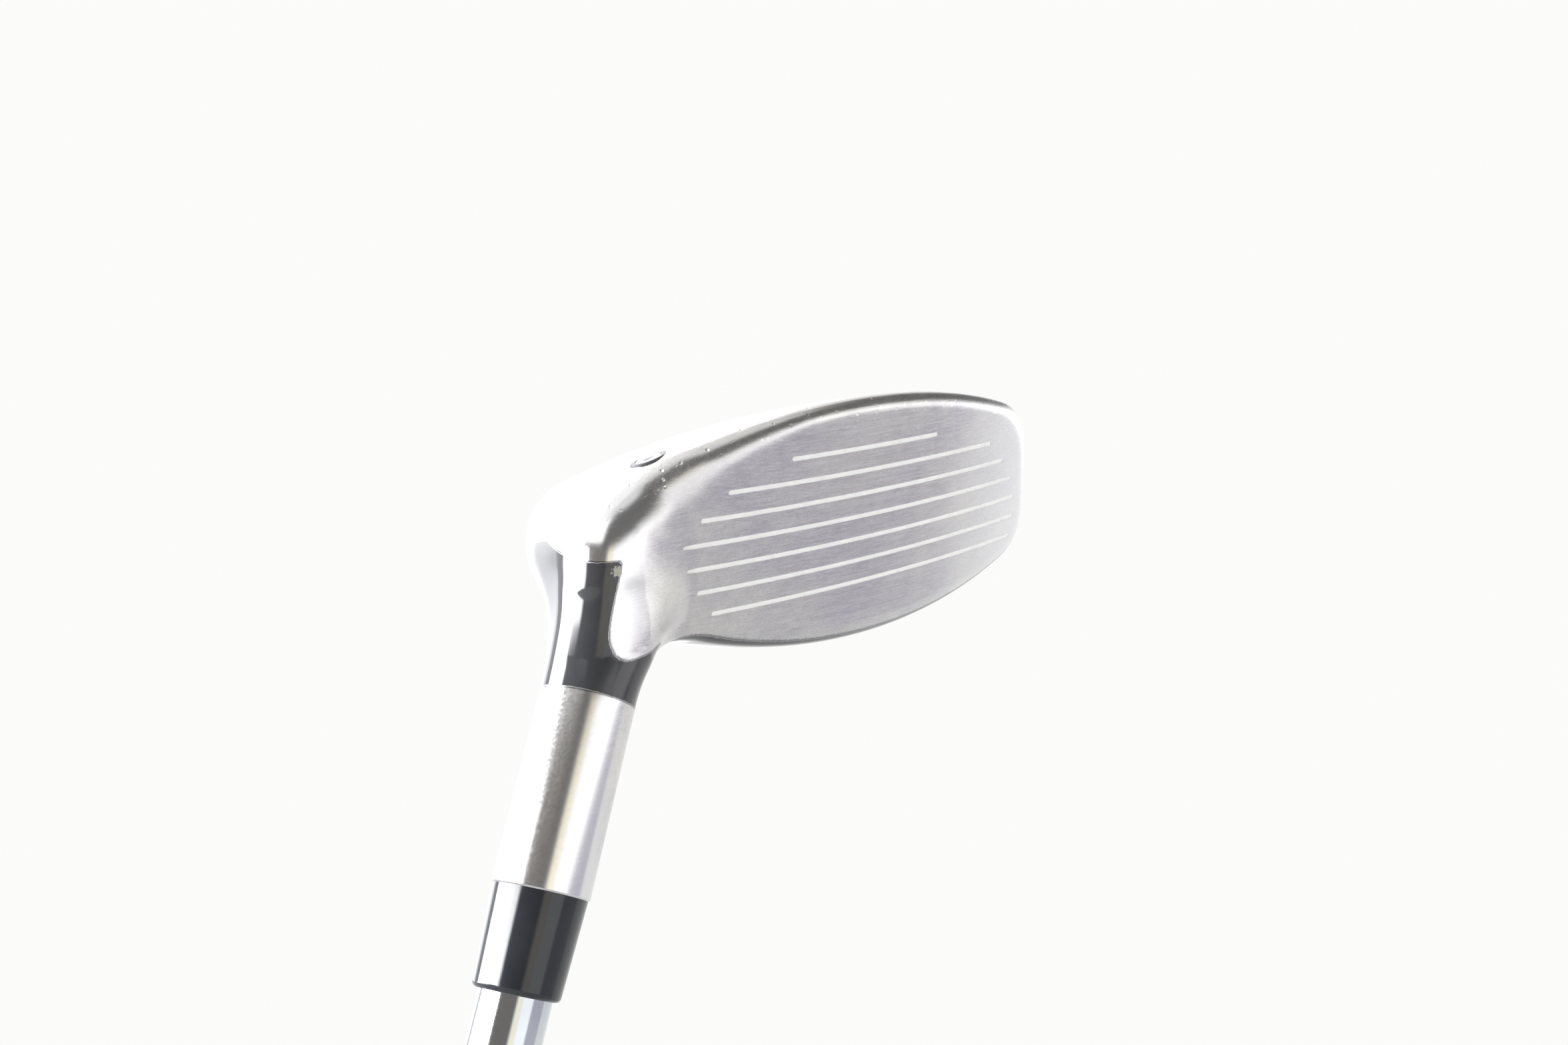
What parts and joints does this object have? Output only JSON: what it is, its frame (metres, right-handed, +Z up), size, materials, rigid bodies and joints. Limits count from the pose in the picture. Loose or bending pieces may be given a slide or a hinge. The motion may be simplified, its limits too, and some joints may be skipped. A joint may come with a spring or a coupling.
{
  "type": "hybrid golf club",
  "caption": "Right-handed hybrid golf club, head up: satin steel face with white score lines, black crown and neck, bare hosel, ferrule, stepped steel shaft, rubber grip.",
  "frame": {"origin": "centre of the vent hole in the flat butt end of the grip, on the shaft axis", "axes": "+Z up the shaft axis towards the head, +X to the toe side, the face looks towards -Y"},
  "size_m": [0.0916, 0.0649, 1.0314],
  "materials": {
    "cast_steel": "satin cast stainless steel, black paint on neck",
    "face_steel": "fine brushed satin",
    "line_paint": "matte white paint fill",
    "black_paint": "gloss black",
    "dark_paint": "satin dark grey fill",
    "hot_melt": "translucent wax-like",
    "shaft_steel": "polished chrome plate",
    "weight_brass": "turned",
    "plug_plastic": "natural nylon",
    "epoxy": "cured adhesive",
    "band_film": "printed film, plain",
    "ferrule_plastic": "polished black",
    "grip_rubber": "moulded, textured",
    "cap_rubber": "smooth moulded",
    "tape_paper": "double-sided paper tape"
  },
  "bodies": {
    "root": {"head_body": "cast_steel", "face_plate": "face_steel", "score_line_paint": "line_paint", "crown_plate": "black_paint", "sole_mark": "dark_paint", "hot_melt_glue": "hot_melt", "shaft": "shaft_steel", "tip_weight": "weight_brass", "hosel_plug": "plug_plastic", "epoxy_bond": "epoxy", "shaft_band": "band_film", "ferrule": "ferrule_plastic", "grip": "grip_rubber", "grip_cap": "cap_rubber", "grip_tape": "tape_paper"}
  },
  "joints": []
}
